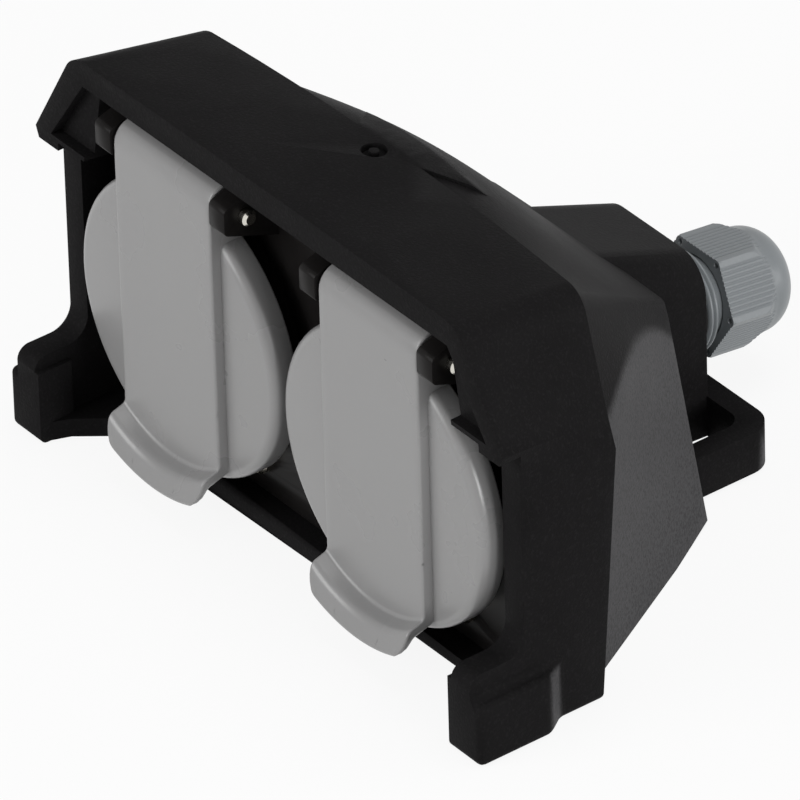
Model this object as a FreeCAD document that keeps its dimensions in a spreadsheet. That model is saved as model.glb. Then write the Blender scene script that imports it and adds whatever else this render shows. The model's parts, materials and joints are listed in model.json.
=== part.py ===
import FreeCAD, Part
import math
import os
import types
import Sketcher
from FreeCAD import Placement, Rotation, Vector

# Two-way rubber trailing socket: a flared hood with two spring lids over earthed wells,
# a tapering back, a hanging loop and a grey cable gland.
# Millimetres. Across is X, back is Y (0 is the front of the lid discs), up is Z (0 is the floor).

sizes = {
    # sockets and lids
    "socketPitch": 56.6, "socketHeight": 35.0, "lidRadius": 27.5, "lidDepth": 5.0, "lidSkin": 2.0,
    "lidEdge": 1.6, "bandHalf": 13.35, "bandProud": 2.0, "bandFootRise": 3.5, "bandBack": 1.0,
    "knuckleRadius": 4.0, "hingeDepth": 2.0, "hingeRise": 4.3, "pinRadius": 1.5, "pinClear": 0.05,
    "pinProud": 1.8, "pinEnd": 0.5, "tabFront": 6.9, "tabDrop": 2.4, "tabThick": 1.9, "tabReach": 2.3,
    "lidRib": 2.1, "neckFill": 12.0,
    # closing spring round each hinge pin
    "springHalf": 6.0, "springRoom": 3.3, "springCoil": 2.4, "springWire": 0.4, "springPitch": 1.3,
    "springTurns": 8,
    # gasket in each lid
    "gasketThick": 1.6, "gasketBand": 3.8, "lidRim": 3.1, "gasketSeat": 4.4, "lidSeatClear": 0.3,
    # socket insert and the two well cups that stand in it
    "plateRoom": 0.5, "plateSlant": 0.85, "plateThick": 4.0, "collarProud": 2.7, "collarWall": 3.25,
    "wellInner": 19.75, "wellWall": 1.75, "wellFit": 0.15, "wellDepth": 17.5, "wellBase": 2.5, "earGap": 0.45, "earWidth": 4.2,
    "earFront": 2.3, "earDrop": 2.6, "earNoseRise": 2.4, "earRise": 3.8, "earRootDrop": 7.3, "earRound": 1.2,
    "plugPinPitch": 19.0, "plugPinHole": 2.8, "wellKeyHalf": 2.4, "wellKeyDepth": 1.6, "seatGasket": 1.0,
    "seatGasketBand": 2.6,
    # contacts
    "sleeveOuter": 3.2, "sleeveInner": 2.35, "sleeveLength": 10.4, "sleeveSlot": 0.7, "towerWall": 1.3,
    "towerLength": 8.0, "busThick": 1.0, "busHalf": 2.6, "busDrop": 9.0, "earthRise": 16.6, "clipWidth": 6.0,
    "clipThick": 0.8, "clipInset": 0.5, "clipReach": 11.0, "clipSlotRoom": 0.2,
    # terminal blocks on the busbars
    "blockHalf": 3.6, "blockDepth": 7.0, "wireRadius": 1.7, "clampRadius": 1.5, "clampProud": 1.4,
    # fixing screws of the insert
    "screwOffset": 10.5, "screwRise": 24.3, "screwRadius": 1.45, "screwHead": 2.9, "screwHeadThick": 1.9,
    "screwLength": 12.0, "screwTip": 1.5, "screwHole": 1.7, "screwSlot": 0.45, "slotReach": 1.75,
    "bossHalf": 3.6, "bossDepth": 9.5,
    # hood
    "footFront": 8.9, "hoodBack": 26.0, "roofOverHinge": 13.3, "roofDrop": 5.9, "roofSag": 2.0,
    "wallMargin": 7.1, "creaseInFront": 9.9, "creaseInBack": 10.9, "shoulderSwell": 2.3, "slantFront": 19.7,
    "shoulderTaper": 2.8, "slantBack": 20.6, "shoulderEdgeFront": 3.0, "shoulderEdgeBack": 5.1,
    "browFront": 1.9, "browUnder": 3.5, "wallFront": 2.7, "footTop": 17.0,
    "rearEdgeTop": 24.5, "rearEdgeLow": 19.0, "padReach": 2.6, "padStraight": 6.2, "padBack": 10.0,
    "padTop": 12.0, "footRib": 1.0, "creaseRound": 6.0, "outside": 90.0, "footRound": 2.5, "footHollow": 4.5,
    # hollow of the hood
    "hollowDrop": 5.2, "roofSkin": 2.8, "creaseWall": 5.4, "hollowFlare": 3.0, "hollowShoulderDrop": 0.8,
    "hollowSlant": 15.1, "wallThick": 5.0, "floorThick": 3.7, "floorFront": 5.3, "floorSide": 6.4,
    "floorBend": 2.3, "floorBendFront": 3.4, "beadThick": 3.8, "beadDepth": 2.2,
    # tapering back: sections at its start, a third, two thirds and the rim
    "backStart": 22.0, "backStep": 0.9, "backSag": 2.2, "crestSag": 7.2, "fallSag": 4.3,
    "backCreaseIn": 12.8, "backShoulderIn": 4.2, "backShoulderRise": 40.0, "backFootIn": 5.4, "backRound": 5.0,
    "midSwell": 0.17, "midShoulderRise": 48.6, "farPinch": 0.37, "farShoulderRise": 45.0, "rimDepth": 64.0, "rimTop": 40.3, "rimSag": 0.4,
    "rimCrease": 23.4, "rimShoulder": 24.6, "rimShoulderRise": 37.1, "rimFoot": 34.6, "rimRound": 1.2,
    "rimLift": 1.0, "rimLiftRun": 12.0,
    # hollow of the back, as far inside as these
    "ledgeWidth": 3.7, "startWallTop": 6.5, "startWallCrease": 5.5, "startWallShoulder": 8.2,
    "startShoulderLift": 6.0, "startWallFoot": 5.7, "startHollow": 4.0, "endWall": 3.8, "endWallTop": 1.9,
    "endWallCrease": 2.4, "endWallShoulder": 2.4, "endShoulderDrop": 2.1, "endWallFoot": 3.8,
    # nose of the ridge that runs out on the roof, above the line of the creases
    "ridgeArch": 70.0, "noseStart": 21.0, "noseStartHalf": 4.0, "noseStartRise": 2.5, "noseEdge": 25.0,
    "noseEdgeHalf": 9.0, "noseEdgeRise": 5.8, "noseCrest": 31.0, "noseCrestHalf": 14.5, "noseCrestRise": 8.3,
    "noseEnd": 44.0, "noseEndHalf": 20.0, "noseEndRise": 5.6, "noseDepth": 12.0,
    "dimpleBefore": 2.9, "dimpleRadius": 2.3, "dimpleNub": 0.9, "dimpleLift": 1.2,
    # neck, loop and gland seat
    "neckHalf": 14.5, "neckStart": 56.0, "neckReach": 16.0, "neckTop": 36.1, "neckFall": 0.39, "neckRound": 6.5,
    "loopHalf": 28.3, "loopReach": 4.0, "loopBar": 4.2, "loopLift": 0.7, "loopHeight": 8.3, "loopRound": 5.0,
    "loopInnerRound": 3.0, "glandHeight": 19.1, "glandTilt": 7.0, "seatRadius": 9.9, "seatReach": 1.4,
    "cableBore": 5.6,
    # cable gland, along its own axis from the seat
    "threadRadius": 7.9, "threadLength": 10.0, "threadClear": 0.1, "washerThick": 2.8, "ringRadius": 9.5,
    "ringThick": 2.1, "grooveThick": 0.6, "grooveDepth": 0.8, "nutGap": 1.9, "nutFlat": 9.5, "nutCornerCut": 0.8,
    "nutHex": 5.4, "nutBlend": 9.0, "nutLength": 16.6, "nutRound": 5.6, "nutBore": 7.9, "nutMouth": 5.3,
    "nutMouthDepth": 2.5, "nutInside": 8.6, "stubRadius": 7.55, "stubLength": 7.0, "clawOuter": 6.9,
    "clawPinch": 1.0, "clawLength": 4.75, "clawSlotWidth": 1.0, "clawSlots": 8, "clawThin": 0.8, "clawBevel": 1.5,
    "sealWall": 1.2, "sealInset": 2.0, "bodyBore": 5.6,
    # the part's own origin lies half way between its front and back
    "originDepth": 48.4,
    # overrun of a cut past the surface that it opens
    "overrun": 1.0,
}

doc = FreeCAD.newDocument("trailing_socket")
sheet = doc.addObject("Spreadsheet::Sheet", "dims")
for row, (word, number) in enumerate(sizes.items(), start=1):
    sheet.set("A%d" % row, word)
    sheet.set("B%d" % row, repr(number))
    sheet.setAlias("B%d" % row, word)
doc.recompute()


class Size:
    """A length that carries its words in the sheet beside its present amount."""

    def __init__(self, words, amount):
        self.words = words
        self.amount = float(amount)

    def joined(self, sign, other, amount):
        return Size("(%s %s %s)" % (self.words, sign, other.words), amount)

    def __add__(self, other):
        other = asSize(other)
        return self.joined("+", other, self.amount + other.amount)

    def __sub__(self, other):
        other = asSize(other)
        return self.joined("-", other, self.amount - other.amount)

    def __mul__(self, other):
        other = asSize(other)
        return self.joined("*", other, self.amount * other.amount)

    def __truediv__(self, other):
        other = asSize(other)
        return self.joined("/", other, self.amount / other.amount)

    def __neg__(self):
        return Size("(0 - %s)" % self.words, -self.amount)


def asSize(number):
    """A plain number as a size."""
    return number if isinstance(number, Size) else Size(repr(number), number)


def tangent(size):
    """The tangent of an angle in degrees."""
    return Size("tan(%s)" % size.words, math.tan(math.radians(size.amount)))


def squareRoot(size):
    """The square root of a size."""
    return Size("sqrt(%s)" % size.words, math.sqrt(size.amount))


d = types.SimpleNamespace(**{word: Size("dims." + word, number) for word, number in sizes.items()})
zero = Size("0", 0)
half = Size("0.5", 0.5)
third = Size("1 / 3", 1 / 3)
hexRatio = Size("(2 / sqrt(3))", 2 / math.sqrt(3))
pieces = []

# heights and depths that several pieces share
lidLow = d.socketHeight - d.lidRadius
hingeHeight = d.socketHeight + d.lidRadius + d.hingeRise
gasketOuter = d.lidRadius - d.lidRim
gasketInner = gasketOuter - d.gasketBand
collarFront = d.gasketSeat + d.gasketThick + d.lidSeatClear
plateFront = collarFront + d.collarProud
wellFloor = collarFront + d.wellDepth
wellBack = wellFloor + d.wellBase
wellOuter = d.wellInner + d.wellWall
ledge = plateFront + d.plateThick + d.seatGasket
roofFront = hingeHeight + d.roofOverHinge
roofBack = roofFront - d.roofDrop
shoulderRise = roofFront - d.slantFront
wallOuter = d.socketPitch / 2 + d.lidRadius + d.wallMargin
wallInner = wallOuter - d.wallThick
creaseFront = wallOuter - d.creaseInFront
hollowBack = roofBack - d.roofSkin
hollowShoulderBack = hollowBack - d.hollowSlant
hollowCrease = creaseFront - d.creaseWall
hollowShoulder = hollowCrease + d.hollowFlare
backTop = roofBack - d.backStep
backCrease = wallOuter - d.backCreaseIn
backShoulder = wallOuter - d.backShoulderIn
backFoot = wallOuter - d.backFootIn
neckBack = d.rimDepth + d.neckReach
loopBack = neckBack + d.loopReach
seatDepth = neckBack + d.seatReach
seatHeight = d.glandHeight - d.seatReach * tangent(d.glandTilt)


def bind(thing, prop, size):
    """Sets a property and ties it to the sheet."""
    thing.setExpression(prop, asSize(size).words)


def newBody(name, x=None, y=None, z=None, tilt=None):
    """An empty body standing in the part's frame."""
    body = doc.addObject("PartDesign::Body", name)
    body.Label = name
    if tilt is not None:
        body.Placement = Placement(Vector(0, 0, 0), Rotation(Vector(-1, 0, 0), tilt.amount))
        bind(body, "Placement.Rotation.Angle", tilt)
    bind(body, "Placement.Base.y", (y or zero) - d.originDepth)
    if x is not None:
        bind(body, "Placement.Base.x", x)
    if z is not None:
        bind(body, "Placement.Base.z", z)
    pieces.append(body)
    return body


def newSketch(body, plane, level=None):
    """A sketch on one of the body's planes: side YZ, front XZ or floor XY, moved to a level."""
    role = {"side": "YZ_Plane", "front": "XZ_Plane", "floor": "XY_Plane"}[plane]
    support = [item for item in body.Origin.OriginFeatures if item.Role == role][0]
    sketch = body.newObject("Sketcher::SketchObject", "outline")
    sketch.AttachmentSupport = [(support, "")]
    sketch.MapMode = "FlatFace"
    if level is not None:
        level = asSize(level)
        bind(sketch, "AttachmentOffset.Base.z", -level if plane == "front" else level)
    return sketch


def place(sketch, geometry, point, x, y):
    """Ties one point of a sketch to its two coordinates."""
    for kind, size in (("DistanceX", asSize(x)), ("DistanceY", asSize(y))):
        index = sketch.addConstraint(Sketcher.Constraint(kind, -1, 1, geometry, point, size.amount))
        sketch.setExpression("Constraints[%d]" % index, size.words)


def polygon(sketch, corners):
    """A closed outline through the corners.

    A third entry makes the stretch that arrives there an arc of that radius.
    A negative one turns clockwise.
    """
    corners = [tuple(asSize(entry) for entry in corner) for corner in corners]
    first = sketch.GeometryCount
    count = len(corners)
    ends = []
    for i in range(count):
        here, there = corners[i], corners[(i + 1) % count]
        start = Vector(here[0].amount, here[1].amount, 0)
        finish = Vector(there[0].amount, there[1].amount, 0)
        if len(there) == 2:
            sketch.addGeometry(Part.LineSegment(start, finish), False)
            ends.append((1, 2))
            continue
        radius = there[2].amount
        chord = finish - start
        left = Vector(-chord.y, chord.x, 0).normalize()
        sag = abs(radius) - math.sqrt(max(radius * radius - chord.Length * chord.Length / 4, 0))
        turn = 1 if radius > 0 else -1
        sketch.addGeometry(Part.Arc(start, (start + finish) / 2 - left * sag * turn, finish), False)
        ends.append((1, 2) if radius > 0 else (2, 1))
    for i in range(count):
        after = (i + 1) % count
        sketch.addConstraint(Sketcher.Constraint("Coincident", first + i, ends[i][1], first + after, ends[after][0]))
    for i, corner in enumerate(corners):
        place(sketch, first + i, ends[i][0], corner[0], corner[1])
        if len(corner) == 3:
            arc = first + (i - 1) % count
            tie = sketch.addConstraint(Sketcher.Constraint("Radius", arc, abs(corner[2].amount)))
            sketch.setExpression("Constraints[%d]" % tie, corner[2].words if corner[2].amount > 0 else (-corner[2]).words)


def mirrored(right):
    """The right half of an outline and its reflection in the middle plane."""
    right = [tuple(asSize(entry) for entry in corner) for corner in right]
    left = []
    for i in range(len(right) - 1, -1, -1):
        corner = (-right[i][0], right[i][1])
        if i + 1 < len(right) and len(right[i + 1]) == 3:
            corner += (right[i + 1][2],)
        left.append(corner)
    return right + left


def softCorner(before, corner, after, radius):
    """The two ends of the round at a corner of an outline drawn clockwise, the second with its arc."""
    corner = [asSize(entry) for entry in corner]
    ways = []
    for point in (before, after):
        run, rise = asSize(point[0]) - corner[0], asSize(point[1]) - corner[1]
        length = squareRoot(run * run + rise * rise)
        ways.append((run / length, rise / length))
    cosine = ways[0][0] * ways[1][0] + ways[0][1] * ways[1][1]
    reach = radius * squareRoot((cosine + 1) / (asSize(1) - cosine))
    ends = [tuple(corner[i] + way[i] * reach for i in (0, 1)) for way in ways]
    return [ends[0], ends[1] + (-radius,)]


def topArc(end, sag):
    """The radius of the arched top that ends at a point and stands proud of it by the sag."""
    return (end[0] * end[0] + sag * sag) / (sag * -2)


def circle(sketch, x, y, radius):
    """A circle with its centre and radius tied to the sheet."""
    x, y, radius = asSize(x), asSize(y), asSize(radius)
    shape = Part.Circle(Vector(x.amount, y.amount, 0), Vector(0, 0, 1), radius.amount)
    index = sketch.addGeometry(shape, False)
    place(sketch, index, 3, x, y)
    tie = sketch.addConstraint(Sketcher.Constraint("Radius", index, radius.amount))
    sketch.setExpression("Constraints[%d]" % tie, radius.words)


def extrude(body, kind, sketch, length, reverse=False, middle=False):
    """A pad or a pocket of a sketch. Its length is tied to the sheet."""
    feature = body.newObject("PartDesign::" + kind, kind)
    feature.Profile = sketch
    feature.Reversed = reverse
    if middle:
        feature.Midplane = True
    bind(feature, "Length", length)
    sketch.Visibility = False
    doc.recompute()
    return feature


def pad(body, sketch, length, reverse=False, middle=False):
    return extrude(body, "Pad", sketch, length, reverse, middle)


def pocket(body, sketch, length, reverse=False, middle=False):
    """A pocket that must take something away."""
    before = body.Tip.Shape.Volume
    feature = extrude(body, "Pocket", sketch, length, reverse, middle)
    if not feature.Shape.isValid() or not 0 < feature.Shape.Volume < before:
        raise RuntimeError("a pocket in %s cuts nothing: %s" % (body.Label, sketch.Name))
    return feature


def loft(body, kind, sketches, ruled=True):
    """A loft through sketches, added or taken away."""
    feature = body.newObject("PartDesign::" + kind, kind)
    feature.Profile = sketches[0]
    feature.Sections = sketches[1:]
    feature.Ruled = ruled
    doc.recompute()
    if not feature.Shape.isValid() or feature.Shape.Volume <= 0:
        raise RuntimeError("a loft in %s failed: %s" % (body.Label, sketches[0].Name))
    return feature


def revolve(body, kind, sketch):
    """A full turn of a sketch about its own level axis."""
    feature = body.newObject("PartDesign::" + kind, kind)
    feature.Profile = sketch
    feature.ReferenceAxis = (sketch, ["H_Axis"])
    feature.Angle = 360
    doc.recompute()
    return feature


def dress(body, kind, prop, size, chosen):
    """Rounds or bevels the edges of the body that are chosen by their place."""
    tip = body.Tip
    names = ["Edge%d" % (i + 1) for i, edge in enumerate(tip.Shape.Edges) if chosen(edge)]
    if not names:
        raise RuntimeError("no edge chosen in %s" % body.Label)
    feature = body.newObject("PartDesign::" + kind, kind)
    feature.Base = (tip, names)
    bind(feature, prop, size)
    doc.recompute()
    if not feature.Shape or feature.Shape.isNull() or not feature.isValid():
        raise RuntimeError("edges of %s can't be dressed with %s: %s" % (body.Label, size.words, names))
    return feature


def rounded(body, radius, chosen):
    return dress(body, "Fillet", "Radius", radius, chosen)


def bevelled(body, size, chosen):
    return dress(body, "Chamfer", "Size", size, chosen)


def along(edge, axis, tolerance=0.02):
    """Whether a straight edge runs along an axis."""
    if len(edge.Vertexes) != 2 or not isinstance(edge.Curve, Part.Line):
        return False
    way = edge.Vertexes[1].Point - edge.Vertexes[0].Point
    return way.Length > 0.1 and abs(abs(way.normalize().dot(axis)) - 1) < tolerance


def near(amount, size, tolerance=0.1):
    return abs(amount - asSize(size).amount) < tolerance


acrossX = Vector(1, 0, 0)
alongY = Vector(0, 1, 0)
upZ = Vector(0, 0, 1)

# Housing: one rubber moulding
housing = newBody("housing")


def hoodSection(level, roof, crease, shoulder, rise, under, sag):
    """A section of the hood: level or arched roof, slanted corner, upright wall."""
    outline = softCorner((zero, roof), (crease, roof), (shoulder, rise), d.creaseRound)
    if sag:
        outline[0] += (topArc(outline[0], sag),)
    sketch = newSketch(housing, "front", level)
    polygon(sketch, mirrored(outline + [(shoulder, rise), (wallOuter, under), (wallOuter, zero)]))
    return sketch


hoodFrontSketch = hoodSection(-d.footFront, roofFront, creaseFront, wallOuter + d.shoulderSwell,
                              shoulderRise, shoulderRise - d.shoulderEdgeFront, None)
shoulderBackRise = roofBack - d.slantBack
hoodBackSketch = hoodSection(d.hoodBack, roofBack, wallOuter - d.creaseInBack, wallOuter - d.shoulderTaper,
                             shoulderBackRise, shoulderBackRise - d.shoulderEdgeBack, d.roofSag)
loft(housing, "AdditiveLoft", [hoodFrontSketch, hoodBackSketch])

# side outline: brow, wall edge and stepped foot in front, leaning edge behind
sideCut = newSketch(housing, "side", zero)
front = -d.footFront
browLow = shoulderRise - d.browUnder
polygon(sideCut, [(front - d.overrun, d.outside), (front - d.overrun, d.footTop - d.footRound),
                  (front, d.footTop - d.footRound), (front + d.footRound, d.footTop, -d.footRound),
                  (d.wallFront - d.footHollow, d.footTop), (d.wallFront, d.footTop + d.footHollow, d.footHollow),
                  (d.wallFront, browLow), (-d.browFront, browLow), (-d.browFront, d.outside)])
leanSlope = (d.rearEdgeTop - d.rearEdgeLow) / roofBack
polygon(sideCut, [(d.rearEdgeLow - leanSlope * d.overrun, -d.overrun),
                  (d.rearEdgeTop + leanSlope * (d.outside - roofBack), d.outside),
                  (d.hoodBack + d.overrun, d.outside), (d.hoodBack + d.overrun, -d.overrun)])
pocket(housing, sideCut, d.outside * 2, middle=True)


def mirrorEach(corners):
    """The same outline on the right and on the left."""
    return [[(x if side > 0 else -x, y) for x, y in corners] for side in (1, -1)]


# outer pads on the feet
padSketch = newSketch(housing, "floor", zero)
padInner = wallOuter - d.overrun
for corners in mirrorEach([(padInner, front), (wallOuter + d.padReach, front),
                           (wallOuter + d.padReach, d.padStraight), (wallOuter, d.padBack),
                           (padInner, d.padBack)]):
    polygon(padSketch, corners)
pad(housing, padSketch, d.padTop)

# tapering back with an arched top


def backLine(level, start, finish):
    """A size that runs straight from the start of the back to its rim."""
    return start + (finish - start) * (level - d.backStart) / (d.rimDepth - d.backStart)


def backSection(level, sag, shoulder, rise):
    crease = (backLine(level, backCrease, d.rimCrease), backLine(level, backTop, d.rimTop))
    outline = softCorner((zero, crease[1]), crease, (shoulder, rise), backLine(level, d.backRound, d.rimRound))
    outline[0] += (topArc(outline[0], sag),)
    sketch = newSketch(housing, "front", level)
    foot = backLine(level, backFoot, d.rimFoot)
    polygon(sketch, mirrored(outline + [(shoulder, rise), (foot, zero)]))
    return sketch


backLength = d.rimDepth - d.backStart
crest = d.backStart + backLength * third
fall = d.rimDepth - backLength * third
pad(housing, backSection(d.backStart, d.backSag, backShoulder, d.backShoulderRise), d.backStart - ledge)
loft(housing, "AdditiveLoft",
     [backSection(d.backStart, d.backSag, backShoulder, d.backShoulderRise),
      backSection(crest, d.crestSag, backLine(crest, backShoulder, d.rimShoulder) + d.midSwell, d.midShoulderRise),
      backSection(fall, d.fallSag, backLine(fall, backShoulder, d.rimShoulder) - d.farPinch, d.farShoulderRise),
      backSection(d.rimDepth, d.rimSag, d.rimShoulder, d.rimShoulderRise)], ruled=False)

# the underside rises a little towards the rim
liftSketch = newSketch(housing, "side", zero)
polygon(liftSketch, [(d.rimDepth - d.rimLiftRun, -d.overrun), (d.rimDepth - d.rimLiftRun, zero),
                     (d.rimDepth + d.overrun, d.rimLift), (d.rimDepth + d.overrun, -d.overrun)])
pocket(housing, liftSketch, d.outside * 2, middle=True)


def noseSection(level, width, rise):
    """An arched block that widens backwards, so that the ridge meets the roof in a point."""
    top = backLine(level, backTop, d.rimTop) + rise
    edge = top - d.ridgeArch + squareRoot(d.ridgeArch * d.ridgeArch - width * width)
    sketch = newSketch(housing, "front", level)
    polygon(sketch, mirrored([(width, edge, -d.ridgeArch), (width, top - d.noseDepth)]))
    return sketch


loft(housing, "AdditiveLoft", [noseSection(d.noseStart, d.noseStartHalf, d.noseStartRise),
                               noseSection(d.noseEdge, d.noseEdgeHalf, d.noseEdgeRise),
                               noseSection(d.noseCrest, d.noseCrestHalf, d.noseCrestRise),
                               noseSection(d.noseEnd, d.noseEndHalf, d.noseEndRise)])

# neck, gland seat and hanging loop
neckSketch = newSketch(housing, "side", zero)
neckFoot = d.neckTop + d.neckFall * (neckBack - d.neckStart)
polygon(neckSketch, [(d.neckStart, d.loopLift), (neckBack, d.loopLift), (neckBack, d.neckTop),
                     (d.neckStart, neckFoot)])
pad(housing, neckSketch, d.neckHalf * 2, middle=True)
neckWay = Vector(0, 1, -d.neckFall.amount).normalize()
rounded(housing, d.neckRound, lambda e: near(abs(e.CenterOfMass.x), d.neckHalf) and along(e, neckWay))

slotBack = loopBack - d.loopBar
loopSketch = newSketch(housing, "floor", d.loopLift)
polygon(loopSketch, mirrored([(d.loopHalf, d.rimDepth - d.overrun), (d.loopHalf, loopBack)]))
pad(housing, loopSketch, d.loopHeight)
loopSlot = newSketch(housing, "floor", zero)
for corners in mirrorEach([(d.neckHalf, d.rimDepth), (d.loopHalf - d.loopBar, d.rimDepth),
                           (d.loopHalf - d.loopBar, slotBack), (d.neckHalf, slotBack)]):
    polygon(loopSlot, corners)
pocket(housing, loopSlot, d.loopLift + d.loopHeight + d.overrun, reverse=True)
rounded(housing, d.loopRound, lambda e: along(e, upZ) and near(abs(e.CenterOfMass.x), d.loopHalf)
        and near(e.CenterOfMass.y, loopBack))
rounded(housing, d.loopInnerRound, lambda e: along(e, upZ) and near(abs(e.CenterOfMass.x), d.loopHalf - d.loopBar)
        and near(e.CenterOfMass.y, slotBack))


def seatSketch(radius):
    """A circle round the gland axis in the plane of the gland seat."""
    sketch = newSketch(housing, "front")
    sketch.AttachmentOffset = Placement(Vector(0, 0, 0), Rotation(Vector(-1, 0, 0), d.glandTilt.amount))
    bind(sketch, "AttachmentOffset.Rotation.Angle", d.glandTilt)
    bind(sketch, "AttachmentOffset.Base.z", -seatDepth)
    bind(sketch, "AttachmentOffset.Base.y", seatHeight)
    circle(sketch, zero, zero, radius)
    return sketch


pad(housing, seatSketch(d.seatRadius), d.seatReach * 4)

# hollow of the hood down to the ledge that carries the insert


def hollowSection(level, top, rise):
    sketch = newSketch(housing, "front", level)
    polygon(sketch, mirrored([(hollowCrease, top), (hollowShoulder, rise), (wallInner, rise), (wallInner, d.floorThick)]))
    return sketch


loft(housing, "SubtractiveLoft",
     [hollowSection(front - d.overrun, roofFront - d.hollowDrop, shoulderRise - d.hollowShoulderDrop),
      hollowSection(ledge, hollowBack, hollowShoulderBack)])

# ribs that thicken the feet on the inside
footSketch = newSketch(housing, "floor", zero)
for corners in mirrorEach([(wallInner - d.footRib, front), (wallInner + d.overrun, front),
                           (wallInner + d.overrun, d.wallFront - d.footHollow),
                           (wallInner - d.footRib, d.wallFront - d.footHollow)]):
    polygon(footSketch, corners)
pad(housing, footSketch, d.footTop - d.footRound)

# the floor plate stops short of the feet
floorSketch = newSketch(housing, "floor", zero)
bendFront = -d.floorBendFront
polygon(floorSketch, mirrored([(wallInner - d.footRib, front - d.overrun), (wallInner - d.footRib, bendFront * 2),
                               (wallInner - d.floorBend, bendFront), (wallInner - d.floorSide, -bendFront / 2),
                               (wallInner - d.floorSide - d.floorFront, d.floorFront)]))
pocket(housing, floorSketch, d.floorThick + d.overrun, reverse=True)

# recess that leaves a raised bead round the slanted corners
beadSketch = newSketch(housing, "front", d.beadDepth - d.browFront)
beadShoulder = wallOuter + d.shoulderSwell - d.beadThick
recessTop = roofFront - d.hollowDrop - d.overrun
recessLow = shoulderRise - d.overrun
polygon(beadSketch, mirrored([(hollowCrease, recessTop), (creaseFront - d.overrun * 3, recessTop),
                              (beadShoulder - d.overrun * 1.5, recessLow), (wallInner - d.overrun, recessLow),
                              (hollowShoulder - d.overrun, recessLow)]))
pocket(housing, beadSketch, d.footFront, reverse=True)

# hollow of the back


def backHollowSection(level, top, crease, shoulder, rise, foot, low):
    sketch = newSketch(housing, "front", level)
    polygon(sketch, mirrored([(crease, top), (shoulder, rise), (foot, low)]))
    return sketch


ledgeInner = wallInner - d.ledgeWidth
startRise = d.backShoulderRise + d.startShoulderLift
loft(housing, "SubtractiveLoft",
     [backHollowSection(ledge - d.overrun, hollowBack - d.ledgeWidth, hollowCrease - d.ledgeWidth, ledgeInner,
                        startRise, ledgeInner, d.floorThick + d.ledgeWidth),
      backHollowSection(d.backStart + d.startHollow, backTop - d.startWallTop, backCrease - d.startWallCrease,
                        backShoulder - d.startWallShoulder, startRise, backFoot - d.startWallFoot, d.floorThick),
      backHollowSection(d.rimDepth - d.endWall, d.rimTop - d.endWallTop, d.rimCrease - d.endWallCrease,
                        d.rimShoulder - d.endWallShoulder, d.rimShoulderRise - d.endShoulderDrop,
                        d.rimFoot - d.endWallFoot, d.floorThick)])

# screw bosses behind the ledge, joined to the roof and the floor
screwPlaces = []
for side in (1, -1):
    for inner in (1, -1):
        for upper in (1, -1):
            x = d.socketPitch / 2 - d.screwOffset * inner
            z = d.socketHeight + d.screwRise * upper
            screwPlaces.append((x if side > 0 else -x, z, side, inner, upper))
bossSketch = newSketch(housing, "front", ledge + d.bossDepth)
for x, z, side, inner, upper in screwPlaces:
    root = hollowBack + d.overrun if upper > 0 else d.floorThick - d.overrun
    end = z - d.bossHalf * upper
    polygon(bossSketch, [(x - d.bossHalf, end), (x + d.bossHalf, end), (x + d.bossHalf, root), (x - d.bossHalf, root)])
pad(housing, bossSketch, d.bossDepth)
bossHoles = newSketch(housing, "front", ledge + d.bossDepth - d.overrun)
for x, z, side, inner, upper in screwPlaces:
    circle(bossHoles, x, z, d.screwRadius)
pocket(housing, bossHoles, d.bossDepth * 2, reverse=True)

# bore for the gland thread and the cable
pocket(housing, seatSketch(d.threadRadius + d.threadClear), d.threadLength + d.overrun, reverse=True)
pocket(housing, seatSketch(d.cableBore), d.seatReach + d.neckReach + d.endWall + d.overrun * 2, reverse=True)

# moulding dimple where the ridge runs out
dimpleSketch = newSketch(housing, "floor", roofBack + d.dimpleLift)
dimpleDepth = d.rearEdgeTop - d.dimpleBefore
circle(dimpleSketch, zero, dimpleDepth, d.dimpleRadius)
circle(dimpleSketch, zero, dimpleDepth, d.dimpleNub)
pocket(housing, dimpleSketch, d.padTop, reverse=True)
print("housing", round(housing.Shape.Volume), housing.Shape.isValid(), len(housing.Shape.Solids))

# Socket insert: the plate with the hinge ears
insert = newBody("socket_insert")


def plateOutline(inset):
    """The outline that fits the hollow of the hood, less an inset."""
    room = d.plateRoom + inset
    slant = d.plateSlant + inset
    return mirrored([(hollowCrease - slant, hollowBack - room),
                     (hollowShoulder - slant, hollowShoulderBack - room),
                     (wallInner - room, hollowShoulderBack - room), (wallInner - room, d.floorThick + room)])


plateSketch = newSketch(insert, "front", plateFront + d.plateThick)
polygon(plateSketch, plateOutline(zero))
pad(insert, plateSketch, d.plateThick)
centres = [d.socketPitch / 2, -(d.socketPitch / 2)]


wellHoles = newSketch(insert, "front", plateFront + d.plateThick)
for centre in centres:
    circle(wellHoles, centre, d.socketHeight, wellOuter + d.wellFit)
pocket(insert, wellHoles, d.plateThick, reverse=True)
earBack = plateFront + d.overrun
earTop = hingeHeight + d.earRise
for centre in centres:
    for sign in (1, -1):
        earSketch = newSketch(insert, "side", centre + (d.bandHalf + d.earGap + d.earWidth / 2) * sign)
        polygon(earSketch, [(earBack, hingeHeight - d.earRootDrop), (-d.earFront, hingeHeight - d.earDrop),
                            (-d.earFront, hingeHeight + d.earNoseRise), (d.hingeDepth, earTop), (earBack, earTop)])
        pad(insert, earSketch, d.earWidth, middle=True)
rounded(insert, d.earRound, lambda e: along(e, acrossX) and near(e.CenterOfMass.y, -d.earFront))
hingeHole = newSketch(insert, "side", zero)
circle(hingeHole, d.hingeDepth, hingeHeight, d.pinRadius)
pocket(insert, hingeHole, d.outside * 2, middle=True)
insertHoles = newSketch(insert, "front", plateFront + d.plateThick)
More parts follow.
